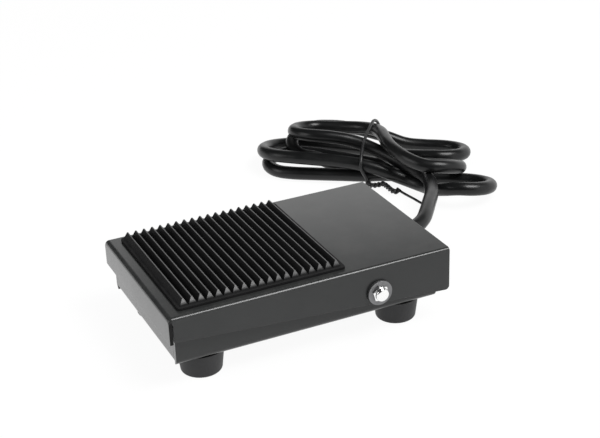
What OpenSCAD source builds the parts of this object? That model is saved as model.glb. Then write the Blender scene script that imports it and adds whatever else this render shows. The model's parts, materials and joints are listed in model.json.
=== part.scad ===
// Foot switch: a sprung sheet-metal pedal over a folded base tray, with a snap switch inside.
// X runs across the pedal, Y from the toe end to the cord end, Z up from the floor.

/* [Pedal cover] */
// Length of the pedal cover, toe end to cord end
pedal_l = 105; // [90:1:130]
// Width of the pedal cover over its skirts
pedal_w = 66.5; // [56:0.5:80]
// Thickness of the pedal's sheet
pedal_t = 1.5; // [1:0.1:2]
// Outer radius of the pedal's bends
pedal_bend = 2.2; // [2:0.1:3]
// Depth of the side skirts at the toe end
skirt_front = 8.9; // [7:0.1:11]
// Depth of the side skirts at the cord end
skirt_rear = 16.5; // [14:0.1:18]
// Depth of the flange across the toe end
flange_h = 9.6; // [7:0.1:11]
// Width of the relief slit between the toe flange and each skirt
slit = 0.7; // [0.4:0.1:1.5]
// Full travel of the pedal, in degrees
travel = 4; // [2:0.5:5]

/* [Ribbed pad] */
// Width of the rubber pad
pad_w = 59; // [48:0.5:62]
// Length of the rubber pad
pad_l = 61.4; // [50:0.2:74]
// Distance from the pedal's toe edge to the pad
pad_inset = 4.5; // [3:0.1:8]
// Thickness of the pad under its ribs
pad_t = 1.1; // [0.8:0.1:2]
// Number of ribs
rib_n = 19; // [12:1:22]
// Height of a rib
rib_h = 2.5; // [1.5:0.1:3.5]
// Width of a rib's flat crest
rib_crest = 0.4; // [0.2:0.1:0.8]
// Flat floor left between two ribs
rib_valley = 0.2; // [0.1:0.1:0.6]
// How far a rib's end slopes inward
rib_slope = 0.7; // [0.3:0.1:1.5]
// Bare rubber along the pad's sides and toe edge
pad_border = 0.9; // [0.5:0.1:2]
// Bare rubber along the pad's rear edge
pad_border_rear = 1.5; // [0.5:0.1:3]

/* [Case] */
// Height of the case, from under the base plate to the top of the pedal
case_h = 19.3; // [18:0.1:26]
// Thickness of the base's sheet
base_t = 1.5; // [1:0.1:2]
// Outer radius of the base's bends
base_bend = 2; // [2:0.1:3]
// Gap between a pedal skirt and the base's side wall
side_gap = 0.7; // [0.5:0.1:1.5]
// Gap between the toe flange and the base's front wall
front_gap = 0.4; // [0.3:0.1:1]
// How far the pedal overhangs the base's rear wall
rear_overhang = 4.2; // [3:0.1:6]
// Gap over the base's walls at the end of the travel, and at the rest stop
stop_gap = 0.2; // [0.1:0.05:0.4]

/* [Hinge] */
// Distance of the hinge axis from the pedal's rear edge
hinge_back = 28.4; // [24:0.1:34]
// Depth of the hinge axis under the pedal's top
hinge_drop = 10; // [8:0.1:12]
// Diameter of the axle
axle_d = 4; // [3:0.1:5]
// Diameter of the axle's threaded ends
axle_end_d = 3; // [2:0.1:3]
// Radial running clearance of the axle in its holes
axle_fit = 0.06; // [0.03:0.01:0.1]
// Side play between a skirt and its washer
axle_play = 0.15; // [0.05:0.05:0.3]
// Outer diameter of the washers
washer_d = 9.2; // [8:0.1:12]
// Thickness of the washers
washer_t = 1; // [0.5:0.1:1.5]
// Width across the flats of the cap nuts
nut_af = 5.5; // [5:0.1:8]
// Height of a cap nut's hexagon
nut_hex_h = 1.8; // [1.5:0.1:3]
// Height of a cap nut's dome
nut_dome_h = 1; // [0.6:0.1:2]
// Outer diameter of the spacer tube
spacer_d = 6; // [5.6:0.1:8]

/* [Return spring] */
// Distance of the spring in front of the hinge axis
spring_ahead = 48; // [40:1:60]
// Outer diameter of the spring
spring_d = 10; // [8:0.5:14]
// Diameter of the spring's wire
spring_wire = 1; // [0.6:0.1:1.4]
// Turns of the spring
spring_turns = 6; // [5:1:9]
// Height of the studs that locate the spring
stud_h = 3; // [2:0.5:4]

/* [Snap switch] */
// Length of the switch
sw_l = 19.8; // [17:0.1:22]
// Thickness of the switch
sw_w = 6.4; // [6:0.1:8]
// Height of the switch
sw_h = 10.2; // [9:0.1:11]
// Distance of the plunger in front of the hinge axis
sw_ahead = 16; // [14:0.5:18]
// Distance of the plunger in front of the switch's rear end
sw_plunger_back = 10; // [8:0.5:12]
// Thickness of the striker plate under the pedal
striker_t = 0.8; // [0.5:0.1:1.2]
// Gap between the striker plate and the plunger at rest
plunger_gap = 0.15; // [0.1:0.05:0.3]
// How far the plunger stands out of the switch
plunger_h = 1.5; // [1.4:0.1:1.8]
// Distance between the switch's two screws
sw_pitch = 9.5; // [8:0.1:11]
// Thickness of the bracket's sheet
bracket_t = 1.2; // [1:0.1:1.6]

/* [Feet] */
// Height of the rubber feet
foot_h = 8.7; // [6:0.1:12]
// Diameter of a foot at its top
foot_d = 16.5; // [12:0.1:20]
// Diameter of a foot near the floor
foot_d_low = 14.6; // [11:0.1:18]
// Rounding of a foot's lower edge
foot_round = 1.2; // [0.5:0.1:2]
// Distance of the feet from the base's sides
foot_in_x = 8.7; // [8.3:0.1:12]
// Distance of the feet from the base's ends
foot_in_y = 11.7; // [9:0.1:16]

/* [Cord] */
// Diameter of the cord
cord_d = 5.8; // [5:0.1:6.6]
// Sideways place of the cord
cord_x = -9; // [-9:0.5:8]
// Height of the cord over the base plate's upper face
cord_up = 5.2; // [5.2:0.1:8]
// Length of the strain relief's nose behind the base
nose_l = 10; // [8:0.1:16]
// Diameter of one conductor
wire_d = 1.7; // [1.4:0.1:2]

/* [Hidden] */
$fn = 48;
eps = 0.01;

steel = "#4a4b4d";
rubber = "#1c1c1d";
bright = "#d9dadc";
zinc = "#a9abad";

// Radius of the rounded sheet corners, of the pad's corners, and how far a relief runs past a bend
sheet_corner = 1.6;
pad_corner = 1;
relief_past = 0.6;
// How far a bent-up flange laps into the plate that it is cut from
lap = 2;
// Heights
plate_z = foot_h + base_t;
top_z = foot_h + case_h;
under_z = top_z - pedal_t;
// Pedal outline
half_w = pedal_w / 2;
toe_y = -pedal_l / 2;
rear_y = pedal_l / 2;
skirt_in = half_w - pedal_t;
// Base outline
base_x = skirt_in - side_gap;
base_front = toe_y + pedal_t + front_gap;
base_rear = rear_y - rear_overhang;
base_in = base_x - base_t;
pedal_relief = pedal_bend + relief_past;
base_relief = base_bend + relief_past;
// Hinge
hinge_y = rear_y - hinge_back;
hinge_z = top_z - hinge_drop;
washer_x = half_w + axle_play;
nut_x = washer_x + washer_t;
thread_fit = 0.02;
shim_play = 0.1;
shim_t = side_gap - 2 * shim_play;
shim_d = 9;
nut_turn = 15;
nut_chamfer = 0.15;
// Spring
spring_y = hinge_y - spring_ahead;
stud_fit = 0.3;
stud_d = spring_d - 2 * (spring_wire + stud_fit);
stud_flange_t = 0.8;
stud_rim = 0.5;
stud_tip = 0.8;
spring_facets = 18;
// Switch
plunger_y = hinge_y - sw_ahead;
striker_z = under_z - striker_t;
plunger_z = striker_z - plunger_gap;
sw_top = plunger_z - plunger_h;
sw_bottom = sw_top - sw_h;
sw_rear = plunger_y + sw_plunger_back;
sw_mid = sw_rear - sw_l / 2;
sw_split = 3;
sw_ledge = 0.6;
sw_hole_up = 2.6;
sw_hole_d = 2.35;
sw_screw_d = 2;
sw_head_d = 3.8;
sw_head_h = 1.3;
sw_nut_af = 4;
sw_nut_t = 1.6;
striker_w = 9;
striker_l = 10;
striker_ahead = 4;
plunger_l = 2.8;
plunger_w = 1.8;
plunger_fit = 0.1;
plunger_depth = 3;
plunger_edge = 0.4;
sheet_t = 0.3;
sheet_w = 12;
sheet_under = 0.2;
terminal_gap = 0.3;
terminal_w = 2.8;
terminal_t = 0.5;
terminal_pitch = 7.3;
bracket_x = sw_w / 2;
bracket_foot = 9;
bracket_in = 1;
// Feet
foot_x = base_x - foot_in_x;
foot_y_front = base_front + foot_in_y;
foot_y_rear = base_rear - foot_in_y;
foot_places = [[-foot_x, foot_y_front], [foot_x, foot_y_front], [-foot_x, foot_y_rear], [foot_x, foot_y_rear]];
foot_bore = 7.4;
foot_web = 3.2;
foot_screw_d = 3;
foot_hole_d = 3.3;
foot_head_d = 5.8;
foot_washer_d = 7;
foot_washer_t = 0.5;
foot_nut_af = 5.5;
foot_nut_t = 2.4;
screw_head_h = 2;
screw_past = 0.5;
// Cord inside the case
cord_z = plate_z + cord_up;
cord_exit = base_rear + nose_l;
jacket_fit = 0.03;
gland_fit = 0.05;
gland_inside = 8.5;
gland_neck_d = cord_d + 1.8;
gland_lip = 0.8;
gland_lip_t = 1.4;
gland_flange = 1.5;
gland_flange_t = 1.7;
gland_nose_wall = 0.8;
clamp_l = 6;
clamp_behind = 0.4;
clamp_y = base_rear - base_t - gland_inside - clamp_behind - clamp_l / 2;
clamp_screw_d = 2.5;
clamp_hole_d = 2.8;
clamp_head_d = 4.6;
clamp_head_h = 1.7;
clamp_gap = 0.8;
clamp_wall = 1.6;
clamp_ear = 2;
clamp_head_gap = 0.1;
clamp_rim = 0.2;
clamp_pitch = cord_d + 2 * clamp_wall + clamp_head_d + 2 * clamp_head_gap;
clamp_w = clamp_pitch + clamp_head_d + 2 * clamp_rim;
strip_y = hinge_y + spacer_d / 2 + 2.2;
wire_gap = 0.15;
lane_gap = 0.3;
lane_x = 2.6;
wire_up = 1.3;
// Cord outside the case: straight for lead_in, then the route from the strain relief to the hank
lead_in = 1;
cord_route = [[-9, 59.3, 15.4], [-9.2, 62, 15.5], [-10.4, 65, 15.6], [-12.8, 68.4, 15.8],
    [-18.8, 73.6, 15.8], [-26, 79, 15.4], [-34, 84.8, 14.4], [-42, 89.4, 12.8], [-49.6, 93.6, 11.2],
    [-56.2, 96.4, 10.2]];
cord_start = [cord_x, cord_exit, cord_z];
cord_move = cord_start + [0, lead_in, 0] - cord_route[0];
// The hank: the centres of its round ends, their radius, and its height
hank_left = [-107, 74];
hank_right = [-80, 108];
hank_r = 33;
hank_h = 21;
tie_wire = 1.4;

// Height of the top edge of the base's walls at a distance along the case
function wall_top(y) = under_z - stop_gap - max(0, (hinge_y - y) * sin(travel));

// ---------- shared shapes ----------

// Lies along +X, from its seat outward
module along_x() {
    rotate([0, 90, 0]) children();
}

// Lies along +Y
module along_y() {
    rotate([-90, 0, 0]) children();
}

// What rounding takes off a corner at the origin whose sides run along -X and -Y
module round_off(r) {
    translate([-r, -r]) difference() {
        square(r + 1);
        circle(r);
    }
}

// Rectangle below and left of the origin, with the corner at the origin rounded
module rounded_block(run, h, r) {
    difference() {
        translate([-run, -h]) square([run, h]);
        round_off(r);
    }
}

// Section of a bent edge: a flat part of length run, a bend of outer radius r, and a leg of depth h
module bent_section(run, r, t, h) {
    difference() {
        rounded_block(run, h, r);
        translate([-t, -t]) rounded_block(run, h, r - t);
    }
}

// Hexagonal prism, width across flats af
module hexagon(af, h) {
    cylinder(d = af / cos(30), h = h, $fn = 6);
}

// Pan-headed screw: head above z = 0, shank of length l below it, crossed slots in the head
module pan_screw(d, l, head_d, head_h) {
    rim_h = head_h * 0.6;
    crown_d = head_d * 0.68;
    slot_l = head_d * 0.56;
    slot_w = head_d * 0.13;
    translate([0, 0, -l]) cylinder(d = d, h = l);
    difference() {
        union() {
            cylinder(d = head_d, h = rim_h);
            translate([0, 0, rim_h]) cylinder(d1 = head_d, d2 = crown_d, h = head_h - rim_h);
        }
        for (turn = [0, 90])
            translate([0, 0, head_h]) rotate(turn) cube([slot_l, slot_w, head_h], center = true);
    }
}

// Closed tube swept along a list of points, with the given number of sides
function unit(v) = v / norm(v);
function tangent(p, i) = unit(p[min(i + 1, len(p) - 1)] - p[max(i - 1, 0)]);
function side_of(t) = unit(cross(t, abs(t.z) < 0.9 ? [0, 0, 1] : [0, 1, 0]));
function ring(c, t, r, sides) =
    let (u = side_of(t), v = cross(u, t))
    [for (k = [0:sides - 1]) c + r * (cos(360 * k / sides) * u + sin(360 * k / sides) * v)];
module sweep(p, r, sides) {
    n = len(p);
    points = [for (i = [0:n - 1]) each ring(p[i], tangent(p, i), r, sides)];
    walls = [for (i = [0:n - 2], k = [0:sides - 1])
        let (a = i * sides + k, b = i * sides + (k + 1) % sides)
        [a, b, b + sides, a + sides]];
    near_cap = [for (k = [sides - 1:-1:0]) k];
    far_cap = [for (k = [0:sides - 1]) (n - 1) * sides + k];
    polyhedron(points, concat([near_cap], walls, [far_cap]), convexity = 8);
}

// Smooth curve through hand-chosen points: each span is cut into steps
function spline_at(a, b, c, d, t) =
    0.5 * ((2 * b) + (c - a) * t + (2 * a - 5 * b + 4 * c - d) * t * t
    + (3 * b - a - 3 * c + d) * t * t * t);
function smooth(p, steps) =
    let (n = len(p))
    [for (i = [0:n - 2], s = [0:steps - 1])
        spline_at(p[max(i - 1, 0)], p[i], p[i + 1], p[min(i + 2, n - 1)], s / steps),
        p[n - 1]];

// ---------- pedal ----------

// Side view of the skirts: deeper toward the rear, with a rounded lower rear corner
module skirt_outline() {
    difference() {
        polygon([[toe_y, top_z], [rear_y, top_z], [rear_y, top_z - skirt_rear],
            [toe_y, top_z - skirt_front]]);
        translate([rear_y, top_z - skirt_rear]) mirror([0, 1]) round_off(sheet_corner);
    }
}

module pedal_sheet() {
    // roof and side skirts
    intersection() {
        translate([0, rear_y, top_z]) rotate([90, 0, 0]) linear_extrude(pedal_l)
            for (side = [0, 1]) mirror([side, 0])
                translate([half_w, 0]) bent_section(half_w, pedal_bend, pedal_t, skirt_rear);
        translate([-half_w, 0, 0]) rotate([90, 0, 90]) linear_extrude(pedal_w) skirt_outline();
    }
}

module pedal_cover() {
    flange_w = 2 * (skirt_in - slit);
    color(steel) difference() {
        union() {
            difference() {
                pedal_sheet();
                // the roof stops short where the toe flange bends down
                translate([-skirt_in, toe_y - 1, under_z - pedal_bend])
                    cube([2 * skirt_in, pedal_relief + 1, pedal_t + pedal_bend + 1]);
            }
            translate([-flange_w / 2, toe_y, top_z]) rotate([90, 0, 90]) linear_extrude(flange_w)
                mirror([1, 0]) bent_section(pedal_relief + lap, pedal_bend, pedal_t, flange_h);
        }
        translate([-half_w - 1, hinge_y, hinge_z]) along_x()
            cylinder(d = axle_d + 2 * axle_fit, h = pedal_w + 2);
    }
}

// Outline of the pad, with its four corners rounded
module pad_outline() {
    difference() {
        translate([-pad_w / 2, 0]) square([pad_w, pad_l]);
        for (side = [0, 1]) mirror([side, 0]) {
            translate([pad_w / 2, pad_l]) round_off(pad_corner);
            translate([pad_w / 2, 0]) mirror([0, 1]) round_off(pad_corner);
        }
    }
}

module ribbed_pad() {
    pad_y = toe_y + pad_inset;
    pitch = (pad_l - pad_border - pad_border_rear) / rib_n;
    rib_len = pad_w - 2 * pad_border;
    color(rubber) {
        translate([0, pad_y, top_z]) linear_extrude(pad_t) pad_outline();
        intersection() {
            translate([-rib_len / 2, 0, top_z + pad_t - eps]) rotate([90, 0, 90])
                linear_extrude(rib_len)
                    for (i = [0:rib_n - 1])
                        translate([pad_y + pad_border + i * pitch, 0])
                            polygon([[rib_valley / 2, 0], [pitch - rib_valley / 2, 0],
                                [(pitch + rib_crest) / 2, rib_h], [(pitch - rib_crest) / 2, rib_h]]);
            translate([0, pad_y + pad_l, top_z + pad_t - eps]) rotate([90, 0, 0])
                linear_extrude(pad_l)
                    polygon([[-rib_len / 2, 0], [rib_len / 2, 0],
                        [rib_len / 2 - rib_slope, rib_h], [rib_slope - rib_len / 2, rib_h]]);
        }
    }
}

module striker_plate() {
    color(zinc) translate([-striker_w / 2, plunger_y - striker_ahead, striker_z])
        cube([striker_w, striker_l, striker_t]);
}

// A flanged stud, standing up from z = 0
module spring_stud() {
    shank_h = stud_h - stud_tip;
    cylinder(d = spring_d + 2 * stud_rim, h = stud_flange_t);
    translate([0, 0, stud_flange_t]) cylinder(d = stud_d, h = shank_h);
    translate([0, 0, stud_flange_t + shank_h])
        cylinder(d1 = stud_d, d2 = stud_d - 2 * stud_tip, h = stud_tip);
}

module upper_spring_stud() {
    color(zinc) translate([0, spring_y, under_z]) mirror([0, 0, 1]) spring_stud();
}

// ---------- base ----------

// Side view of the side walls: lower toward the toe, to clear the pressed pedal
module wall_outline() {
    difference() {
        polygon([[base_front, foot_h], [base_rear, foot_h], [base_rear, wall_top(base_rear)],
            [hinge_y, wall_top(hinge_y)], [base_front, wall_top(base_front)]]);
        translate([base_rear, foot_h]) mirror([0, 1]) round_off(sheet_corner);
    }
}

// An end wall of the base, bent up from the plate, between the side walls
module end_wall(height) {
    width = 2 * (base_in - slit);
    translate([-width / 2, 0, foot_h]) rotate([90, 0, 90]) linear_extrude(width)
        mirror([1, 0]) mirror([0, 1]) bent_section(base_relief + lap, base_bend, base_t, height);
}

// The plate with its two side walls
module side_channel() {
    intersection() {
        translate([0, base_rear, foot_h]) rotate([90, 0, 0])
            linear_extrude(base_rear - base_front)
                for (side = [0, 1]) mirror([side, 0]) translate([base_x, 0]) mirror([0, 1])
                    bent_section(base_x, base_bend, base_t, under_z - foot_h);
        translate([-base_x, 0, 0]) rotate([90, 0, 90]) linear_extrude(2 * base_x)
            wall_outline();
    }
}

module base_tray() {
    color(steel) difference() {
        union() {
            difference() {
                side_channel();
                // the plate stops short where the end walls bend up
                for (y = [base_front - 1, base_rear - base_relief])
                    translate([-base_in, y, foot_h - 1])
                        cube([2 * base_in, base_relief + 1, base_t + base_bend + 1]);
            }
            translate([0, base_front, 0]) end_wall(wall_top(base_front) - foot_h);
            translate([0, base_rear, 0]) mirror([0, 1, 0])
                end_wall(wall_top(base_rear) - foot_h);
        }
        translate([-base_x - 1, hinge_y, hinge_z]) along_x()
            cylinder(d = axle_d + 2 * axle_fit, h = 2 * base_x + 2);
        for (p = foot_places)
            translate([p.x, p.y, foot_h - 1]) cylinder(d = foot_hole_d, h = base_t + 2);
        for (side = [-1, 1])
            translate([cord_x + side * clamp_pitch / 2, clamp_y, foot_h - 1])
                cylinder(d = clamp_screw_d + 2 * thread_fit, h = base_t + 2);
        translate([cord_x, base_rear - base_t - 1, cord_z]) along_y()
            cylinder(d = gland_neck_d + 2 * gland_fit, h = base_t + 2);
    }
}

module hinge_axle() {
    color(zinc) {
        translate([-washer_x, hinge_y, hinge_z]) along_x() cylinder(d = axle_d, h = 2 * washer_x);
        tip = washer_t + nut_hex_h;
        translate([-washer_x - tip, hinge_y, hinge_z]) along_x()
            cylinder(d = axle_end_d, h = 2 * (washer_x + tip));
    }
}

module spacer_tube() {
    color(zinc) translate([-base_in, hinge_y, hinge_z]) along_x() difference() {
        cylinder(d = spacer_d, h = 2 * base_in);
        translate([0, 0, -1]) cylinder(d = axle_d + 2 * axle_fit, h = 2 * base_in + 2);
    }
}

// Flat ring on the hinge axis, from x outward on both sides
module axis_rings(x, outer, inner, t) {
    for (side = [0, 1]) mirror([side, 0, 0])
        translate([x, hinge_y, hinge_z]) along_x() difference() {
            cylinder(d = outer, h = t);
            translate([0, 0, -1]) cylinder(d = inner, h = t + 2);
        }
}

module pivot_shims() {
    color("ivory")
        axis_rings(base_x + shim_play, shim_d, axle_d + 2 * axle_fit, shim_t);
}

module hinge_washers() {
    color(zinc) axis_rings(washer_x, washer_d, axle_end_d + 2 * axle_fit, washer_t);
}

// Domed cap nuts: a hexagon under a shallow cap of a sphere
module cap_nuts() {
    dome_r = nut_af / 2 - nut_chamfer;
    ball_r = (dome_r * dome_r + nut_dome_h * nut_dome_h) / (2 * nut_dome_h);
    thread_top = nut_hex_h + 0.1;
    color(bright) for (side = [0, 1]) mirror([side, 0, 0])
        translate([nut_x, hinge_y, hinge_z]) along_x() difference() {
            union() {
                rotate(nut_turn) hexagon(nut_af, nut_hex_h);
                intersection() {
                    translate([0, 0, nut_hex_h + nut_dome_h - ball_r]) sphere(r = ball_r);
                    translate([0, 0, nut_hex_h / 2]) cylinder(r = dome_r, h = nut_hex_h + nut_dome_h);
                }
            }
            translate([0, 0, -1]) cylinder(d = axle_end_d + 2 * thread_fit, h = thread_top + 1);
        }
}

// ---------- spring ----------

// Coil spring: the end turns are closed, and the turns between them share the rise
module return_spring() {
    low = plate_z + stud_flange_t;
    high = under_z - stud_flange_t;
    r = (spring_d - spring_wire) / 2;
    open_turns = spring_turns - 2;
    open_rise = high - low - 3 * spring_wire;
    line = [for (i = [0:spring_turns * spring_facets])
        let (turn = i / spring_facets,
            open = min(max(turn - 1, 0), open_turns) / open_turns,
            closed = min(turn, 1) + max(turn - spring_turns + 1, 0))
        [r * cos(360 * turn), r * sin(360 * turn),
            (0.5 + closed) * spring_wire + open * open_rise]];
    color(bright) translate([0, spring_y, low]) sweep(line, spring_wire / 2, 8);
}

module lower_spring_stud() {
    color(zinc) translate([0, spring_y, plate_z]) spring_stud();
}

// ---------- switch ----------

module switch_body_holes() {
    for (side = [-1, 1])
        translate([-sw_w, sw_mid + side * sw_pitch / 2, sw_bottom + sw_hole_up]) along_x()
            cylinder(d = sw_hole_d, h = 2 * sw_w);
}

module plunger_well() {
    size = [plunger_w + 2 * plunger_fit, plunger_l + 2 * plunger_fit, plunger_depth + plunger_h];
    translate([-size.x / 2, plunger_y - size.y / 2, sw_top - size.z]) cube([size.x, size.y, size.z + 1]);
}

module switch_case() {
    color("#2b2b2d") difference() {
        translate([-sw_w / 2, sw_rear - sw_l, sw_bottom]) cube([sw_w, sw_l, sw_h - sw_split]);
        switch_body_holes();
        plunger_well();
    }
}

module switch_cover() {
    color("#343437") difference() {
        translate([-sw_w / 2, sw_rear - sw_l, sw_top - sw_split]) cube([sw_w, sw_l, sw_split]);
        plunger_well();
        // ledges along the ends
        for (y = [sw_rear - sw_l - 1, sw_rear - sw_ledge])
            translate([-sw_w, y, sw_top - sw_ledge]) cube([2 * sw_w, 1 + sw_ledge, sw_ledge + 1]);
    }
}

module switch_plunger() {
    height = plunger_depth + plunger_h;
    half = plunger_l / 2;
    color("#b3261e") translate([-plunger_w / 2, plunger_y, plunger_z - height])
        rotate([90, 0, 90]) linear_extrude(plunger_w)
            polygon([[-half, 0], [half, 0], [half, height - plunger_edge],
                [half - plunger_edge, height], [plunger_edge - half, height],
                [-half, height - plunger_edge]]);
}

module switch_terminals() {
    length = sw_bottom - plate_z - sheet_t - terminal_gap;
    color("goldenrod") for (i = [-1, 0, 1])
        translate([-terminal_t / 2, sw_mid + i * terminal_pitch - terminal_w / 2, sw_bottom - length])
            cube([terminal_t, terminal_w, length]);
}

module switch_bracket() {
    width = sw_l - 2 * bracket_in;
    wall_h = sw_bottom + 2 * sw_hole_up - plate_z;
    color(zinc) difference() {
        translate([bracket_x, sw_mid - width / 2, plate_z]) union() {
            cube([bracket_t, width, wall_h]);
            cube([bracket_t + bracket_foot, width, bracket_t]);
        }
        switch_body_holes();
    }
}

module switch_screws() {
    grip = sw_w + bracket_t + sw_nut_t + screw_past;
    color(bright) for (side = [-1, 1])
        translate([-sw_w / 2, sw_mid + side * sw_pitch / 2, sw_bottom + sw_hole_up])
            rotate([0, -90, 0]) pan_screw(sw_screw_d, grip, sw_head_d, sw_head_h);
}

module switch_nuts() {
    color(bright) for (side = [-1, 1])
        translate([bracket_x + bracket_t, sw_mid + side * sw_pitch / 2, sw_bottom + sw_hole_up])
            along_x() difference() {
                hexagon(sw_nut_af, sw_nut_t);
                translate([0, 0, -1]) cylinder(d = sw_screw_d + 2 * thread_fit, h = sw_nut_t + 2);
            }
}

module insulation_sheet() {
    color("#8a5a2b") translate([bracket_x - sheet_under - sheet_w, sw_mid - sw_l / 2, plate_z])
        cube([sheet_w, sw_l, sheet_t]);
}

// ---------- feet ----------

module foot(p) {
    color(rubber) translate([p.x, p.y, 0]) difference() {
        rotate_extrude() {
            polygon([[0, 0], [foot_d_low / 2 - foot_round, 0], [foot_d_low / 2, foot_round],
                [foot_d / 2, foot_h], [0, foot_h]]);
            intersection() {
                translate([foot_d_low / 2 - foot_round, foot_round]) circle(foot_round);
                square([foot_d_low, foot_h]);
            }
        }
        translate([0, 0, -1]) cylinder(d = foot_bore, h = foot_h - foot_web + 1);
        translate([0, 0, -1]) cylinder(d = foot_hole_d, h = foot_h + 2);
    }
}

module foot_front_left() {
    foot(foot_places[0]);
}

module foot_front_right() {
    foot(foot_places[1]);
}

module foot_rear_left() {
    foot(foot_places[2]);
}

module foot_rear_right() {
    foot(foot_places[3]);
}

module foot_screws() {
    grip = foot_web + base_t + foot_washer_t + foot_nut_t + screw_past;
    color(bright) for (p = foot_places)
        translate([p.x, p.y, foot_h - foot_web]) mirror([0, 0, 1])
            pan_screw(foot_screw_d, grip, foot_head_d, screw_head_h);
}

module foot_washers() {
    color(zinc) for (p = foot_places) translate([p.x, p.y, plate_z]) difference() {
        cylinder(d = foot_washer_d, h = foot_washer_t);
        translate([0, 0, -1]) cylinder(d = foot_hole_d, h = foot_washer_t + 2);
    }
}

module foot_nuts() {
    color(zinc) for (p = foot_places) translate([p.x, p.y, plate_z + foot_washer_t]) difference() {
        hexagon(foot_nut_af, foot_nut_t);
        translate([0, 0, -1]) cylinder(d = foot_screw_d + 2 * thread_fit, h = foot_nut_t + 2);
    }
}

// ---------- cord inside the case ----------

module clamp_block(z, h) {
    translate([cord_x - clamp_w / 2, clamp_y - clamp_l / 2, z]) cube([clamp_w, clamp_l, h]);
}

module clamp_cuts(hole_d) {
    translate([cord_x, clamp_y - clamp_l, cord_z]) along_y()
        cylinder(d = cord_d + 2 * jacket_fit, h = 2 * clamp_l);
    for (side = [-1, 1])
        translate([cord_x + side * clamp_pitch / 2, clamp_y, 0]) cylinder(d = hole_d, h = 2 * top_z);
}

module clamp_base() {
    color("ivory") difference() {
        clamp_block(plate_z, cord_up - clamp_gap / 2);
        clamp_cuts(clamp_hole_d);
    }
}

module clamp_strap() {
    color("ivory") difference() {
        union() {
            clamp_block(cord_z + clamp_gap / 2, clamp_ear);
            translate([cord_x, clamp_y - clamp_l / 2, cord_z]) along_y() difference() {
                cylinder(r = cord_d / 2 + clamp_wall, h = clamp_l);
                translate([-clamp_w, -clamp_gap / 2, -1]) cube([2 * clamp_w, clamp_w, clamp_l + 2]);
            }
        }
        clamp_cuts(clamp_hole_d);
    }
}

module clamp_screws() {
    seat = cord_z + clamp_gap / 2 + clamp_ear;
    color(bright) for (side = [-1, 1])
        translate([cord_x + side * clamp_pitch / 2, clamp_y, seat])
            pan_screw(clamp_screw_d, seat - foot_h, clamp_head_d, clamp_head_h);
}

// Strain relief: a lip inside the wall, a flange outside it, and a nose that tapers to the cord
module cord_gland() {
    neck_r = gland_neck_d / 2;
    nose_r = cord_d / 2 + gland_nose_wall;
    inner_end = -base_t - gland_inside;
    total_l = gland_inside + base_t + nose_l;
    color("#202022") translate([cord_x, base_rear, cord_z]) along_y() difference() {
        rotate_extrude() polygon([[0, inner_end], [nose_r, inner_end],
            [neck_r + gland_lip, -base_t - gland_lip_t], [neck_r + gland_lip, -base_t],
            [neck_r, -base_t], [neck_r, 0], [neck_r + gland_flange, 0],
            [neck_r + gland_flange, gland_flange_t], [neck_r, gland_flange_t],
            [nose_r, nose_l], [0, nose_l]]);
        translate([0, 0, inner_end - 1]) cylinder(d = cord_d + 2 * jacket_fit, h = total_l + 2);
    }
}

// The jacketed cord between the switch bay and the strain relief's nose
module cord_core() {
    color("#161617") translate([cord_x, strip_y, cord_z]) along_y()
        cylinder(d = cord_d, h = cord_exit - strip_y);
}

// Three insulated conductors, from the stripped end of the jacket to the terminals
module conductors() {
    colours = ["#6b3a1a", "#1f4f9c", "#202020"];
    lead_z = plate_z + sheet_t + terminal_gap + wire_up;
    tab_x = -terminal_t / 2;
    for (i = [0:2]) {
        x = cord_x + (i - 1) * (wire_d + wire_gap);
        // the lane farthest from the terminals runs on to the front one
        lane = tab_x - lane_x - (2 - i) * (wire_d + lane_gap);
        stop_y = sw_mid + (i - 1) * terminal_pitch;
        run = smooth([[x, strip_y - 0.6, cord_z], [x, strip_y - 2.2, cord_z - 1.6],
            [x, strip_y - 4.2, lead_z + 0.8], [x, strip_y - 7, lead_z], [lane, stop_y + 4, lead_z],
            [lane + 0.5, stop_y + 0.8, lead_z], [tab_x - 1, stop_y, lead_z]], 3);
        path = concat([[x, strip_y, cord_z]], run, [[tab_x, stop_y, lead_z]]);
        color(colours[i]) sweep(path, wire_d / 2, 8);
    }
}

// ---------- cord outside ----------

// The route moves with the nose, and comes back to its own heights by its end
module cord_tube() {
    last = len(cord_route) - 1;
    points = [for (i = [0:last])
        cord_route[i] + [cord_move.x, cord_move.y, cord_move.z * (1 - i / last)]];
    color("#161617") sweep(concat([cord_start], smooth(points, 3)), cord_d / 2, 12);
}

// Sets its children down at the left end of the hank, with +X along it
module at_hank() {
    across = hank_right - hank_left;
    translate([hank_left.x + cord_move.x, hank_left.y + cord_move.y, 0])
        rotate(atan2(across.y, across.x)) children();
}

// Folded turns of cord, held by the tie
module cord_hank() {
    length = norm(hank_right - hank_left);
    color("#161617") at_hank() linear_extrude(hank_h) {
        circle(hank_r);
        translate([0, -hank_r]) square([length, 2 * hank_r]);
        translate([length, 0]) circle(hank_r);
    }
}

// Covered wire round the middle of the hank
module twist_tie() {
    middle = norm(hank_right - hank_left) / 2;
    color("#111112") at_hank() translate([middle, 0, 0]) difference() {
        translate([-tie_wire / 2, -hank_r - tie_wire, 0])
            cube([tie_wire, 2 * (hank_r + tie_wire), hank_h + tie_wire]);
        translate([-tie_wire, -hank_r, -1]) cube([2 * tie_wire, 2 * hank_r, hank_h + 1]);
    }
}

pedal_cover();
ribbed_pad();
striker_plate();
upper_spring_stud();
base_tray();
hinge_axle();
spacer_tube();
pivot_shims();
hinge_washers();
cap_nuts();
return_spring();
lower_spring_stud();
switch_case();
switch_cover();
switch_plunger();
switch_terminals();
switch_bracket();
switch_screws();
switch_nuts();
insulation_sheet();
foot_front_left();
foot_front_right();
foot_rear_left();
foot_rear_right();
foot_screws();
foot_washers();
foot_nuts();
clamp_base();
clamp_strap();
clamp_screws();
cord_gland();
cord_core();
conductors();
cord_tube();
cord_hank();
twist_tie();
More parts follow.
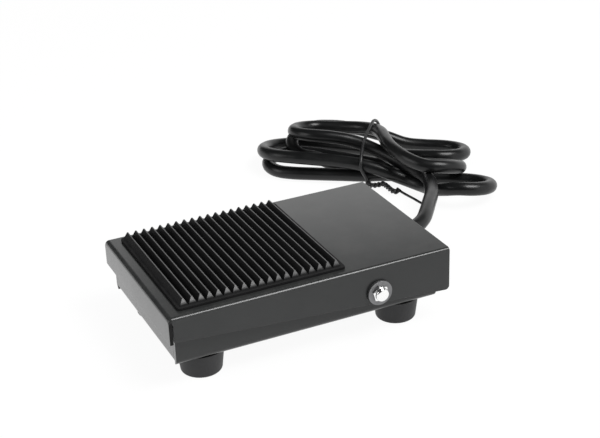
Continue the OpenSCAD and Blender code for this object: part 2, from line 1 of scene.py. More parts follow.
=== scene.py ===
"""Foot switch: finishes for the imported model, its folded and moulded forms, its cord, and the studio."""

import json
import logging
from dataclasses import dataclass
from enum import Enum
from math import cos, radians, sin

import bmesh
import bpy
import numpy as np
from mathutils import Matrix, Vector


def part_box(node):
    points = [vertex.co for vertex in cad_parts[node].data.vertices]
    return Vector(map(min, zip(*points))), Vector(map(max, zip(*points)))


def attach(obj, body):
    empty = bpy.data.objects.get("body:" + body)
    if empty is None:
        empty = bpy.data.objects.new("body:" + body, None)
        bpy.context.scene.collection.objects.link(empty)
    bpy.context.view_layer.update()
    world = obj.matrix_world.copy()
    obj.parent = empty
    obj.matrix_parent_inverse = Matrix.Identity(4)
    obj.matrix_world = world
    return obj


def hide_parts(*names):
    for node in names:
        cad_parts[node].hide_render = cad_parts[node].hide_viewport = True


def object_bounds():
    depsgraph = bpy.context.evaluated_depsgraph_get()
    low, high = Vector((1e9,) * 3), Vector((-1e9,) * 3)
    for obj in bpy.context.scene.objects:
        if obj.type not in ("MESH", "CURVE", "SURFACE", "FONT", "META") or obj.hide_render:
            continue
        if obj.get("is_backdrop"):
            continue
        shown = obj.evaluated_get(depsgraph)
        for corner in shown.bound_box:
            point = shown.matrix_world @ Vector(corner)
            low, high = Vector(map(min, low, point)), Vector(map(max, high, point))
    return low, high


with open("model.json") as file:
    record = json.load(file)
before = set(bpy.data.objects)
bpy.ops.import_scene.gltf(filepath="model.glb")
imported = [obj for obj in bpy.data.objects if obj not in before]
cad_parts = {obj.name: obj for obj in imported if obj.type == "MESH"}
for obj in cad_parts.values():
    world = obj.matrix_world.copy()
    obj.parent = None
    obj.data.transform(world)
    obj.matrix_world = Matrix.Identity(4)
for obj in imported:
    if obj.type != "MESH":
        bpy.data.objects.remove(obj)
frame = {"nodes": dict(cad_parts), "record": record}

MM = 0.001
WELD = 1e-7  # points closer than this, in metres, are one
CREASE = 35.0  # in degrees; a sharper edge than this is shaded hard
STEEP = 0.95  # a line whose direction rises more than this counts as upright
ASLANT = (0.3, 0.95, 0.0)  # taken in place of straight up where a line is upright
LOG = logging.getLogger("foot_switch")
Colour = tuple[float, float, float]
Point = tuple[float, float, float]
Span = tuple[float, float]
Shape = tuple[np.ndarray, list]
Node = bpy.types.Node
Socket = bpy.types.NodeSocket
Thing = bpy.types.Object


class Body(Enum):
    """The bodies that the new pieces ride on."""

    BASE = "base"
    PEDAL = "pedal"


class Slot(Enum):
    """The record's material slots, each with a finish of its own."""

    PAINTED = "painted"
    PAD = "pad_rubber"
    FOOT = "foot_rubber"
    ZINC = "zinc_plate"
    BRIGHT = "bright_plate"
    SPRING = "spring_steel"
    NYLON = "nylon"
    SWITCH = "switch_black"
    PLUNGER = "plunger_red"
    BRASS = "terminal_brass"
    CARD = "card"
    JACKET = "cord_jacket"
    GLAND = "gland_black"
    WIRE = "wire_insulation"
    TIE = "tie_black"


# ---------- node trees ----------


class NodePage:
    """A node tree with short calls that add its nodes and join them."""

    def __init__(self, tree: bpy.types.NodeTree) -> None:
        """Starts on a node tree, and empties it."""
        self.tree = tree
        tree.nodes.clear()

    def add(self, kind: str, **settings: object) -> Node:
        """Adds a node.

        Args:
            kind: the node's type without its ShaderNode prefix, or a full type name.
            settings: attributes to set on the node.

        Returns:
            The new node.
        """
        name = kind if kind.startswith("Node") else "ShaderNode" + kind
        node = self.tree.nodes.new(name)
        for key, value in settings.items():
            setattr(node, key, value)
        return node

    def feed(self, socket: Socket, value: object) -> None:
        """Gives an input what it takes: another socket, a colour of three numbers, or a plain value.

        Args:
            socket: the input.
            value: what it takes.
        """
        if isinstance(value, Socket):
            self.tree.links.new(value, socket)
        elif isinstance(value, tuple) and socket.type == "RGBA":
            socket.default_value = (*value, 1.0)
        else:
            socket.default_value = value

    def put(self, node: Node, **values: object) -> Node:
        """Sets a node's inputs by name, with underscores for spaces.

        Args:
            node: the node whose inputs are set.
            values: one value or output socket for each input.

        Returns:
            The same node.
        """
        for key, value in values.items():
            self.feed(node.inputs[key.replace("_", " ")], value)
        return node

    def math(self, operation: str, first: object, second: object = 0.0, third: object = 0.0,
             clamp: bool = False) -> Socket:
        """Adds a Math node.

        Args:
            operation: the node's operation, such as MULTIPLY.
            first: its first number or socket.
            second: its second number or socket.
            third: its third, which only MULTIPLY_ADD reads.
            clamp: whether the result is kept from 0 to 1.

        Returns:
            The result's socket.
        """
        node = self.add("Math", operation=operation, use_clamp=clamp)
        for socket, value in zip(node.inputs, (first, second, third)):
            self.feed(socket, value)
        return node.outputs[0]

    def mix(self, amount: object, first: object, second: object) -> Socket:
        """Mixes two colours.

        Args:
            amount: share of the second colour.
            first: colour or socket at 0.
            second: colour or socket at 1.

        Returns:
            The mixed colour's socket.
        """
        node = self.add("Mix", data_type="RGBA")
        for number, value in ((0, amount), (6, first), (7, second)):
            self.feed(node.inputs[number], value)
        return node.outputs[2]

    def span(self, value: object, low: float, high: float, to_low: float = 0.0,
             to_high: float = 1.0) -> Socket:
        """Maps a value smoothly from one span to another.

        Args:
            value: the socket that is mapped.
            low: the value that becomes to_low.
            high: the value that becomes to_high.
            to_low: result at and below low.
            to_high: result at and above high.

        Returns:
            The mapped value's socket.
        """
        node = self.add("MapRange", interpolation_type="SMOOTHSTEP")
        self.put(node, Value=value, From_Min=low, From_Max=high, To_Min=to_low, To_Max=to_high)
        return node.outputs["Result"]

    def noise(self, scale: object, detail: float, roughness: float) -> Socket:
        """Adds a noise texture on the object's own coordinates.

        Args:
            scale: waves to the metre, or a socket.
            detail: octaves.
            roughness: share of each next octave.

        Returns:
            The noise's value socket.
        """
        node = self.add("TexNoise")
        self.put(node, Vector=self.here(), Scale=scale, Detail=detail, Roughness=roughness)
        return node.outputs[0]

    def here(self) -> Socket:
        """Gives the place on the piece, in the object's own coordinates."""
        return self.add("TexCoord").outputs["Object"]

    def split(self, vector: Socket) -> object:
        """Splits a vector into outputs with the names X, Y and Z."""
        return self.put(self.add("SeparateXYZ"), Vector=vector).outputs


def group(name: str, inputs: dict[str, tuple[str, float]], outputs: dict[str, str]) -> NodePage:
    """Makes an empty shader node group with named inputs and outputs.

    Args:
        name: the group's name.
        inputs: type and default of each input.
        outputs: type of each output.

    Returns:
        The page to draw its nodes on, with page.given and page.result as its ends.
    """
    tree = bpy.data.node_groups.new(name, "ShaderNodeTree")
    page = NodePage(tree)
    for key, (kind, default) in inputs.items():
        socket = tree.interface.new_socket(key, in_out="INPUT", socket_type=kind)
        socket.default_value = default
    for key, kind in outputs.items():
        tree.interface.new_socket(key, in_out="OUTPUT", socket_type=kind)
    page.given = page.add("NodeGroupInput")
    page.result = page.add("NodeGroupOutput")
    return page


class Effects:
    """The shader node groups that several finishes share, each built once."""

    number: str = "NodeSocketFloat"
    # octaves of each noise, and the share of each next octave
    fine_noise: Span = (3.0, 0.6)
    drift_noise: Span = (4.0, 0.55)
    wear_noise: Span = (4.0, 0.7)
    dust_noise: Span = (5.0, 0.65)
    # where each mask starts and where it is full
    drift_span: Span = (0.3, 0.7)
    edge_span: Span = (0.995, 0.86)
    wear_span: Span = (0.42, 0.62)
    upward_span: Span = (0.2, 1.0)
    dust_span: Span = (0.35, 0.75)
    wear_scale: float = 700.0
    bevel_samples: int = 6

    def __init__(self) -> None:
        """Builds the groups."""
        self.grain = self._grain()
        self.edges = self._edges()
        self.dust = self._dust()

    def _grain(self) -> bpy.types.NodeTree:
        """Fine grain over broad patches.

        Returns:
            The group, with a height for bumps and a mask that drifts over the surface.
        """
        page = group("grain", {"Fine": (self.number, 2000.0), "Patch": (self.number, 60.0)},
                     {"Height": self.number, "Drift": self.number})
        fine = page.noise(page.given.outputs["Fine"], *self.fine_noise)
        drift = page.noise(page.given.outputs["Patch"], *self.drift_noise)
        page.put(page.result, Height=fine, Drift=page.span(drift, *self.drift_span))
        return page.tree

    def _edges(self) -> bpy.types.NodeTree:
        """Sharp edges, found where the rounded normal turns away from the plain one.

        Returns:
            The group, with the rounded normal and a mask of the wear, broken up by noise.
        """
        page = group("edges", {"Radius": (self.number, 0.0002), "Wear": (self.number, 0.5)},
                     {"Normal": "NodeSocketVector", "Worn": self.number})
        rounded = page.put(page.add("Bevel", samples=self.bevel_samples),
                           Radius=page.given.outputs["Radius"])
        turned = page.add("VectorMath", operation="DOT_PRODUCT")
        page.feed(turned.inputs[0], rounded.outputs[0])
        page.feed(turned.inputs[1], page.add("NewGeometry").outputs["Normal"])
        edge = page.span(turned.outputs["Value"], *self.edge_span)
        broken = page.span(page.noise(self.wear_scale, *self.wear_noise), *self.wear_span)
        worn = page.math("MULTIPLY", page.math("MULTIPLY", edge, broken), page.given.outputs["Wear"])
        page.put(page.result, Normal=rounded.outputs[0], Worn=worn)
        return page.tree

    def _dust(self) -> bpy.types.NodeTree:
        """Dust that lies in soft patches on what looks up.

        Returns:
            The group, with its mask.
        """
        page = group("dust", {"Amount": (self.number, 0.2), "Patch": (self.number, 120.0)},
                     {"Mask": self.number})
        normal = page.split(page.add("NewGeometry").outputs["Normal"])
        upward = page.span(normal["Z"], *self.upward_span)
        patch = page.noise(page.given.outputs["Patch"], *self.dust_noise)
        lying = page.math("MULTIPLY", upward, page.span(patch, *self.dust_span))
        page.put(page.result, Mask=page.math("MULTIPLY", lying, page.given.outputs["Amount"]))
        return page.tree


# ---------- finishes ----------


@dataclass(frozen=True)
class Finish:
    """One kind of surface: two colours that drift into each other, grain, worn edges and dust."""

    slot: Slot
    colour: Colour
    shade: Colour
    roughness: float
    spread: float = 0.08
    metallic: float = 0.0
    specular: float = 0.5
    coat: float = 0.0
    coat_roughness: float = 0.15
    coat_ior: float = 1.33
    patch: float = 60.0
    fine: float = 2500.0
    depth: float = 0.01 * MM
    edge_radius: float = 0.15 * MM
    wear: float = 0.0
    worn: Colour = (0.35, 0.35, 0.35)
    dust: float = 0.0
    dust_colour: Colour = (0.30, 0.29, 0.27)
    dust_roughness: float = 0.3

    def tint(self, page: NodePage, colour: object) -> object:
        """Changes the colour further by place; a plain finish leaves it as it is."""
        return colour

    def build(self, effects: Effects) -> bpy.types.Material:
        """Makes the material.

        Args:
            effects: the shared node groups.

        Returns:
            The new material.
        """
        material = bpy.data.materials.new(self.slot.value)
        material.use_nodes = True
        page = NodePage(material.node_tree)
        shader = page.put(page.add("BsdfPrincipled"), Metallic=self.metallic,
                          Specular_IOR_Level=self.specular, Coat_Weight=self.coat,
                          Coat_Roughness=self.coat_roughness, Coat_IOR=self.coat_ior)
        page.put(page.add("OutputMaterial"), Surface=shader.outputs[0])
        grain = page.put(page.add("Group", node_tree=effects.grain), Fine=self.fine, Patch=self.patch)
        edges = page.put(page.add("Group", node_tree=effects.edges),
                         Radius=self.edge_radius, Wear=self.wear)
        dust = page.put(page.add("Group", node_tree=effects.dust), Amount=self.dust)
        colour = page.mix(grain.outputs["Drift"], self.shade, self.colour)
        colour = self.tint(page, colour)
        colour = page.mix(edges.outputs["Worn"], colour, self.worn)
        colour = page.mix(dust.outputs["Mask"], colour, self.dust_colour)
        rough = page.math("MULTIPLY_ADD", grain.outputs["Drift"], self.spread,
                          self.roughness - self.spread / 2)
        dulled = page.math("MULTIPLY", dust.outputs["Mask"], self.dust_roughness)
        rough = page.math("ADD", rough, dulled, clamp=True)
        bump = page.put(page.add("Bump"), Strength=1.0, Distance=self.depth,
                        Height=grain.outputs["Height"], Normal=edges.outputs["Normal"])
        page.put(shader, Base_Color=colour, Roughness=rough, Normal=bump.outputs[0])
        return material


@dataclass(frozen=True)
class RibbedRubber(Finish):
    """Rubber of the pad: its crests and the ends of its ribs are paler, partly worn and partly painted
    highlight.
    """

    top_z: float = 0.0
    toe_y: float = 0.0
    rear_y: float = 0.0
    # below the top: where the crests start to pale, where they are palest, and the ribs' foot
    crest_from: float = 0.12 * MM
    crest_to: float = 0.03 * MM
    crest_share: float = 0.36
    rib_foot: float = 2.45 * MM
    # over the ribs' foot: where their ends start to pale, and where they are palest
    end_from: float = 0.2 * MM
    end_to: float = 1.5 * MM
    plain_side: float = 0.80
    full_side: float = 0.95
    toe_share: float = 0.75
    rear_share: float = 0.45
    # paler colour of the crests and rib ends: wear, with painted highlight
    rubbed_and_sheen: Colour = (0.26, 0.26, 0.26)

    def tint(self, page: NodePage, colour: object) -> object:
        """Pales the crests by height, and the ribs' sloping ends by height and by how far they
        face sideways, less toward the rear: partly wear, partly painted highlight.

        Args:
            page: the material's node page.
            colour: the rubber's own colour.

        Returns:
            The colour with its crests and ends paled by wear and painted highlight.
        """
        place = page.split(page.here())
        faces = page.split(page.add("NewGeometry").outputs["True Normal"])
        crest = page.span(place["Z"], self.top_z - self.crest_from, self.top_z - self.crest_to,
                          0.0, self.crest_share)
        sideways = page.span(page.math("ABSOLUTE", faces["X"]), self.plain_side, self.full_side)
        foot = self.top_z - self.rib_foot
        above = page.span(place["Z"], foot + self.end_from, foot + self.end_to)
        fade = page.span(place["Y"], self.toe_y, self.rear_y, self.toe_share, self.rear_share)
        ends = page.math("MULTIPLY", page.math("MULTIPLY", sideways, above), fade)
        # crests and sideways-facing rib ends paled: partly wear, partly painted highlight
        return page.mix(page.math("MAXIMUM", crest, ends), colour, self.rubbed_and_sheen)


@dataclass(frozen=True)
class WireColours(Finish):
    """Insulation of three wires that lie side by side: brown, blue and black."""

    split_low: float = -9.95 * MM
    split_high: float = -8.05 * MM
    fan_from: float = 12 * MM
    fan_to: float = 23 * MM
    fan: float = 3.2 * MM
    low_wire: Colour = (0.14, 0.04, 0.015)
    high_wire: Colour = (0.012, 0.012, 0.013)

    def tint(self, page: NodePage, colour: object) -> object:
        """Gives each wire its colour by its place across the case, past the stretch where all
        three shift sideways.

        Args:
            page: the material's node page.
            colour: the colour so far, which gives way to the wires' own.

        Returns:
            The wires' colour.
        """
        place = page.split(page.here())
        shift = page.span(place["Y"], self.fan_from, self.fan_to, self.fan, 0.0)
        lane = page.math("SUBTRACT", place["X"], shift)
        first = page.math("LESS_THAN", lane, self.split_low)
        last = page.math("GREATER_THAN", lane, self.split_high)
        return page.mix(last, page.mix(first, self.colour, self.low_wire), self.high_wire)


class Workshop:
    """Builds each finish once and puts it on nodes and pieces."""

    def __init__(self) -> None:
        """Starts with the shared effects and no finish built."""
        self.effects = Effects()
        self.made: dict[Slot, bpy.types.Material] = {}
        pad_low, pad_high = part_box("ribbed_pad")
        self.finishes = {finish.slot: finish for finish in (
            Finish(Slot.PAINTED, (0.021, 0.022, 0.022), (0.017, 0.018, 0.018), 0.30, spread=0.05,
                   specular=0.22, coat=0.79, patch=45.0, fine=1500.0, depth=0.006 * MM,
                   edge_radius=0.2 * MM, wear=0.25, worn=(0.20, 0.20, 0.21), dust=0.03),
            RibbedRubber(Slot.PAD, (0.0120, 0.0120, 0.0124), (0.0090, 0.0090, 0.0094), 0.65,
                         specular=0.10, patch=90.0, fine=1500.0, depth=0.004 * MM,
                         edge_radius=0.12 * MM, dust=0.02, top_z=pad_high.z, toe_y=pad_low.y,
                         rear_y=pad_high.y),
            Finish(Slot.FOOT, (0.016, 0.016, 0.017), (0.011, 0.011, 0.012), 0.55,
                   specular=0.45, depth=0.02 * MM, edge_radius=0.2 * MM, dust=0.12),
            Finish(Slot.ZINC, (0.52, 0.53, 0.55), (0.40, 0.41, 0.43), 0.32, metallic=1.0,
                   patch=300.0, fine=3500.0, wear=0.5, worn=(0.75, 0.75, 0.75)),
            Finish(Slot.BRIGHT, (0.97, 0.97, 0.96), (0.93, 0.93, 0.93), 0.14, metallic=1.0,
                   patch=400.0, fine=4000.0, depth=0.004 * MM),
            Finish(Slot.SPRING, (0.45, 0.46, 0.48), (0.34, 0.35, 0.37), 0.25, metallic=1.0, patch=300.0),
            Finish(Slot.NYLON, (0.62, 0.59, 0.50), (0.54, 0.51, 0.43), 0.45, patch=150.0, dust=0.1),
            Finish(Slot.SWITCH, (0.020, 0.020, 0.022), (0.013, 0.013, 0.014), 0.38, patch=200.0),
            Finish(Slot.PLUNGER, (0.42, 0.025, 0.018), (0.33, 0.018, 0.013), 0.35, patch=300.0),
            Finish(Slot.BRASS, (0.72, 0.48, 0.18), (0.58, 0.37, 0.13), 0.3, metallic=1.0, patch=300.0),
            Finish(Slot.CARD, (0.24, 0.12, 0.05), (0.19, 0.09, 0.035), 0.7, patch=250.0, dust=0.1),
            Finish(Slot.JACKET, (0.0055, 0.0058, 0.006), (0.004, 0.0042, 0.0045), 0.34,
                   specular=0.36, patch=110.0, fine=1000.0, depth=0.006 * MM),
            Finish(Slot.GLAND, (0.012, 0.012, 0.013), (0.009, 0.009, 0.010), 0.45, dust=0.06),
            WireColours(Slot.WIRE, (0.02, 0.07, 0.30), (0.015, 0.055, 0.25), 0.35),
            Finish(Slot.TIE, (0.012, 0.012, 0.012), (0.008, 0.008, 0.009), 0.42, patch=500.0),
        )}
        # sheet that was cut takes a thin, matt coat, and its darker colour is painted shade
        self.shaded_cut_edge = Finish(Slot.PAINTED, (0.014, 0.014, 0.014), (0.010, 0.010, 0.010), 0.7,
                               specular=0.1, patch=300.0, dust=0.02)
        # the two washers of the hinge are dulled, darker than the rest of the plated steel
        self.dulled = Finish(Slot.ZINC, (0.25, 0.25, 0.255), (0.19, 0.19, 0.195), 0.45, metallic=1.0,
                             patch=300.0, fine=3500.0, wear=0.3, worn=(0.35, 0.35, 0.35))

    def finish(self, slot: Slot) -> bpy.types.Material:
        """Gives the material of a slot, built at its first use.

        Args:
            slot: the material slot.

        Returns:
            Its material.
        """
        if slot not in self.made:
            self.made[slot] = self.finishes[slot].build(self.effects)
        return self.made[slot]

    def dress(self, thing: Thing, slot: Slot) -> None:
        """Puts a slot's finish on a node or piece, in place of any other."""
        thing.data.materials.clear()
        thing.data.materials.append(self.finish(slot))

    def settle(self, piece: Thing, slot: Slot, body: Body, *nodes: str) -> Thing:
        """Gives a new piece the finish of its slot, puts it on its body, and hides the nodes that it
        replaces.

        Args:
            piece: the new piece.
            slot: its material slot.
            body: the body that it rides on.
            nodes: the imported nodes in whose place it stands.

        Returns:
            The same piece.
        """
        self.dress(piece, slot)
        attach(piece, body.value)
        if nodes:
            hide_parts(*nodes)
        return piece

    def dress_frame(self) -> None:
        """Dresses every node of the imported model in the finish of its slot."""
        for entry in frame["record"]["subparts"]:
            self.dress(frame["nodes"][entry["node"]], Slot(entry["material_slot"]))
        washers = frame["nodes"]["hinge_washers"].data.materials
        washers.clear()
        washers.append(self.dulled.build(self.effects))


# ---------- shapes ----------


def mesh_piece(name: str, points: np.ndarray, faces: list[list[int]]) -> Thing:
    """Makes a mesh object from points in metres, and links it.

    Args:
        name: the piece's name.
        points: its points, one row each.
        faces: its faces, as lists of row numbers.

    Returns:
        The new object, at the origin.
    """
    mesh = bpy.data.meshes.new(name)
    mesh.from_pydata(points.tolist(), [], faces)
    mesh.validate()
    sheet = bmesh.new()
    sheet.from_mesh(mesh)
    bmesh.ops.remove_doubles(sheet, verts=sheet.verts, dist=WELD)
    bmesh.ops.recalc_face_normals(sheet, faces=sheet.faces)
    sheet.to_mesh(mesh)
    sheet.free()
    thing = bpy.data.objects.new(name, mesh)
    bpy.context.scene.collection.objects.link(thing)
    return thing


def smooth_shading(thing: Thing, angle: float = CREASE) -> None:
    """Shades a mesh smooth, apart from edges sharper than an angle in degrees."""
    thing.data.shade_smooth()
    thing.data.set_sharp_from_angle(angle=radians(angle))


def grid_faces(rows: int, columns: int, round_rows: bool, round_columns: bool) -> np.ndarray:
    """Numbers the four-sided faces of a grid of points.

    Args:
        rows: rows of points.
        columns: points in a row.
        round_rows: whether the last row joins the first.
        round_columns: whether each row is a ring.

    Returns:
        One face a row, as four point numbers that run row, next column, next row.
    """
    i = np.arange(rows if round_rows else rows - 1)[:, None]
    j = np.arange(columns if round_columns else columns - 1)[None, :]
    down, right = (i + 1) % rows, (j + 1) % columns
    corners = (i * columns + j, i * columns + right, down * columns + right, down * columns + j)
    return np.stack([np.broadcast_to(c, np.broadcast(i, j).shape) for c in corners], -1).reshape(-1, 4)


def ring_shell(rings: np.ndarray, closed: bool = False, backward: bool = False) -> Shape:
    """Skins a stack of rings.

    Args:
        rings: the points of each ring, one ring a row.
        closed: whether the last ring joins the first; if not, a flat face closes each end.
        backward: whether the side faces' points run the other way round.

    Returns:
        Points and faces.
    """
    rows, columns = rings.shape[:2]
    faces = grid_faces(rows, columns, closed, True)[:, ::-1 if backward else 1].tolist()
    if not closed:
        faces += [list(range(columns))[::-1], list(range((rows - 1) * columns, rows * columns))]
    return rings.reshape(-1, 3), faces


def unit(rows: np.ndarray) -> np.ndarray:
    """Scales every row to a length of one."""
    return rows / np.linalg.norm(rows, axis=1, keepdims=True)


def turned(angle: np.ndarray, side: np.ndarray, over: np.ndarray) -> np.ndarray:
    """Gives the directions at an angle between two that are square to each other."""
    return np.cos(angle)[..., None] * side + np.sin(angle)[..., None] * over


def curve_through(points: np.ndarray, steps: int, closed: bool) -> np.ndarray:
    """Smooth curve through points: on each span, the cubic whose slope at a point is half the
    difference of that point's two neighbours.

    Args:
        points: the points, one row each.
        steps: points made on each span.
        closed: whether the curve returns to its start.

    Returns:
        The curve's points.
    """
    if closed:
        a, b, c, d = (np.roll(points, shift, 0) for shift in (1, 0, -1, -2))
    else:
        ends = np.vstack([2 * points[:1] - points[1:2], points, 2 * points[-1:] - points[-2:-1]])
        a, b, c, d = ends[:-3], ends[1:-2], ends[2:-1], ends[3:]
    t = (np.arange(steps) / steps)[None, :, None]
    a, b, c, d = (x[:, None, :] for x in (a, b, c, d))
    line = 0.5 * (2 * b + (c - a) * t + (2 * a - 5 * b + 4 * c - d) * t**2
                  + (3 * b - a - 3 * c + d) * t**3)
    line = line.reshape(-1, 3)
    return line if closed else np.vstack([line, points[-1:]])


def tube(line: np.ndarray, radius: float, sides: int, closed: bool) -> Shape:
    """Tube round a line: at each point, a circle across the line's direction.

    Args:
        line: points along the middle, one row each.
        radius: the tube's radius.
        sides: corners of each circle.
        closed: whether the line is a loop; an open tube gets flat ends.

    Returns:
        The tube's points, and its faces.
    """
    ahead = np.roll(line, -1, 0) - np.roll(line, 1, 0)
    if not closed:
        ahead[0], ahead[-1] = line[1] - line[0], line[-1] - line[-2]
    ahead = unit(ahead)
    upright = np.where(np.abs(ahead[:, 2:3]) < STEEP, [[0.0, 0.0, 1.0]], [ASLANT])
    if closed:
        upright = np.broadcast_to(np.cross(ahead, np.roll(ahead, -1, 0)).sum(0)[None], line.shape)
    side = unit(np.cross(ahead, upright))
    over = np.cross(side, ahead)
    ring = turned(np.arange(sides) * 2 * np.pi / sides, side[:, None], over[:, None])
    return ring_shell(line[:, None] + ring * radius, closed, backward=True)


def joined(parts: list[Shape]) -> Shape:
    """Puts several shapes into one list of points and faces.

    Args:
        parts: points and faces of each shape.

    Returns:
        All the points, and all the faces with their numbers moved on.
    """
    faces, count = [], 0
    for points, own in parts:
        faces += [[number + count for number in face] for face in own]
        count += len(points)
    return np.vstack([points for points, _ in parts]), faces


@dataclass
class Piece:
    """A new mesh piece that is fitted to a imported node, and most often stands in its place."""

    name: str
    node: str
    slot: Slot
    body: Body
    in_place: bool = True
    crease: float = CREASE

    def __post_init__(self) -> None:
        """Reads the two corners of the node's box."""
        self.low, self.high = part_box(self.node)

    def shape(self) -> Shape:
        """Draws the piece."""
        raise NotImplementedError

    def model(self) -> Thing:
        """Makes the piece's object, without a finish."""
        return mesh_piece(self.name, *self.shape())

    def build(self, shop: Workshop) -> Thing:
        """Makes the piece, and gives it its shading, the finish of its slot, and its body.

        Args:
            shop: gives it its finish.

        Returns:
            The piece.
        """
        piece = self.model()
        smooth_shading(piece, self.crease)
        return shop.settle(piece, self.slot, self.body, *([self.node] if self.in_place else []))


# ---------- the ribbed pad ----------


@dataclass
class PadMoulding(Piece):
    """The moulded rubber pad: a slab with rounded corners, and ribs with rounded crests and
    sloping ends."""

    name: str = "pad_moulding"
    node: str = "ribbed_pad"
    slot: Slot = Slot.PAD
    body: Body = Body.PEDAL
    ribs: int = 19
    rib_height: float = 2.5 * MM
    crest: float = 0.4 * MM
    valley: float = 0.2 * MM
    slope: float = 0.7 * MM
    border: float = 0.9 * MM
    border_rear: float = 1.5 * MM
    corner: float = 1.0 * MM
    edge: float = 0.3 * MM
    sink: float = 0.02 * MM
    arc_points: int = 7
    flank_stops: tuple = (0.0, 0.45, 0.9)
    crest_points: int = 5
    crest_reach: float = 0.7
    crest_drop: float = 0.045
    # seven points across a rib: their share of the half width, and whether they climb the profile
    across: tuple = (-1.0, -1.0, -0.5, 0.0, 0.5, 1.0, 1.0)
    climbs: tuple = (0.0, 1.0, 1.0, 1.0, 1.0, 1.0, 0.0)

    def slab(self) -> Shape:
        """The slab: its outline is a rectangle with quarter-circle corners, and each ring of the
        side takes that outline a little farther in as it climbs the rounded upper edge.

        Returns:
            Points and faces.
        """
        top = self.high.z - self.rib_height
        quarter = np.linspace(0, np.pi / 2, self.arc_points)
        rise = np.concatenate([[self.low.z], top - self.edge + self.edge * np.sin(quarter)])
        inset = np.concatenate([[0.0], self.edge * (1 - np.cos(quarter))])
        middle = np.array([(self.low.x + self.high.x) / 2, (self.low.y + self.high.y) / 2])
        reach = np.array([self.high.x - self.low.x, self.high.y - self.low.y]) / 2 - self.corner
        turn = np.concatenate([quarter + k * np.pi / 2 for k in range(4)])
        sign = np.repeat([[1, 1], [-1, 1], [-1, -1], [1, -1]], self.arc_points, axis=0)
        out = np.stack([np.cos(turn), np.sin(turn)], -1)
        flat = middle + sign * reach + (self.corner - inset)[:, None, None] * out
        level = np.broadcast_to(rise[:, None, None], flat.shape[:2] + (1,))
        return ring_shell(np.concatenate([flat, level], -1))

    def rib_profile(self) -> np.ndarray:
        """Side view of all the ribs: straight flanks, a round crest, and a round valley between
        two ribs, repeated at the pitch.

        Returns:
            Distance along the pad and height over the slab, one row each.
        """
        start = self.low.y + self.border
        pitch = (self.high.y - self.low.y - self.border - self.border_rear) / self.ribs
        foot, head = self.valley / 2, (pitch - self.crest) / 2
        stops = np.array(self.flank_stops)
        climb = np.stack([foot + stops * (head - foot), stops * self.rib_height], -1)
        arc = np.linspace(-1, 1, self.crest_points)
        over = np.stack([pitch / 2 + arc * self.crest * self.crest_reach,
                         self.rib_height * (1 - self.crest_drop * arc**2)], -1)
        down = np.stack([pitch - climb[::-1, 0], climb[::-1, 1]], -1)
        one = np.vstack([[[0.0, 0.0]], climb, over, down])
        every = one[None] + np.stack([np.arange(self.ribs) * pitch, np.zeros(self.ribs)], -1)[:, None]
        profile = np.vstack([every.reshape(-1, 2), [[self.ribs * pitch, 0.0]]])
        return profile + [start, 0.0]

    def rib_block(self) -> Shape:
        """The ribs: the profile carried across the pad, its ends drawn in by the slope's share of
        the height, and a foot line at each end that closes the ribs' triangular ends.

        Returns:
            Points and faces.
        """
        profile = self.rib_profile()
        base = self.high.z - self.rib_height - self.sink
        half = (self.high.x - self.low.x) / 2 - self.border
        lean = self.slope * profile[:, 1] / self.rib_height
        climbs = np.array(self.climbs)[None]
        x = np.array(self.across)[None] * (half - climbs * lean[:, None])
        z = base + climbs * profile[:, 1:2]
        y = np.broadcast_to(profile[:, :1], x.shape)
        points = np.stack([x, y, z], -1)
        rows, columns = x.shape
        faces = grid_faces(rows, columns, False, False)[:, ::-1].tolist()
        near = [i * columns for i in range(rows)]
        far = [i * columns + columns - 1 for i in range(rows)][::-1]
        last = [(rows - 1) * columns + j for j in range(1, columns - 1)]
        first = list(range(1, columns - 1))[::-1]
        faces.append(near + last + far + first)
        return points.reshape(-1, 3), faces

    def shape(self) -> Shape:
        """The slab and its ribs."""
        return joined([self.slab(), self.rib_block()])


# ---------- folded sheet ----------


def bent_strip(outer: float, sheet: float, run: float, leg: float, arc_points: int) -> np.ndarray:
    """Section of a bent strip: a flat run, a quarter circle of the outer radius and a leg down,
    then back along the same shape one sheet farther in.

    Args:
        outer: the bend's outer radius.
        sheet: the sheet's thickness.
        run: length of the flat part before the bend.
        leg: length of the leg below the bend.
        arc_points: points on the quarter circle.

    Returns:
        Distance out from the end of the flat part and height over it, one row each round the
        section; the first and last rows are the flat part's end, the middle two the leg's tip.
    """
    turn = np.linspace(0, np.pi / 2, arc_points)
    around = np.stack([np.sin(turn), np.cos(turn)], -1)
    sides = []
    for radius in (outer, outer - sheet):
        arc = np.array([0.0, -outer]) + radius * around
        sides.append(np.vstack([arc[:1] - [run, 0.0], arc, arc[-1:] - [0.0, leg]]))
    return np.vstack([sides[0], sides[1][::-1]])


def strip_ends(first: int, count: int) -> list[list[int]]:
    """Closes the end of a bent strip, whose points follow each other, with four-sided faces."""
    return [[first + k, first + k + 1, first + count - 2 - k, first + count - 1 - k]
            for k in range(count // 2 - 1)]


def strip_across(rings: np.ndarray) -> Shape:
    """Skins a bent strip whose section is repeated in rows, and closes both of its ends.

    Args:
        rings: the section's points at each row.

    Returns:
        Points and faces.
    """
    rows, columns = rings.shape[:2]
    faces = grid_faces(rows, columns, False, True).tolist()
    faces += strip_ends(0, columns) + strip_ends((rows - 1) * columns, columns)
    return rings.reshape(-1, 3), faces


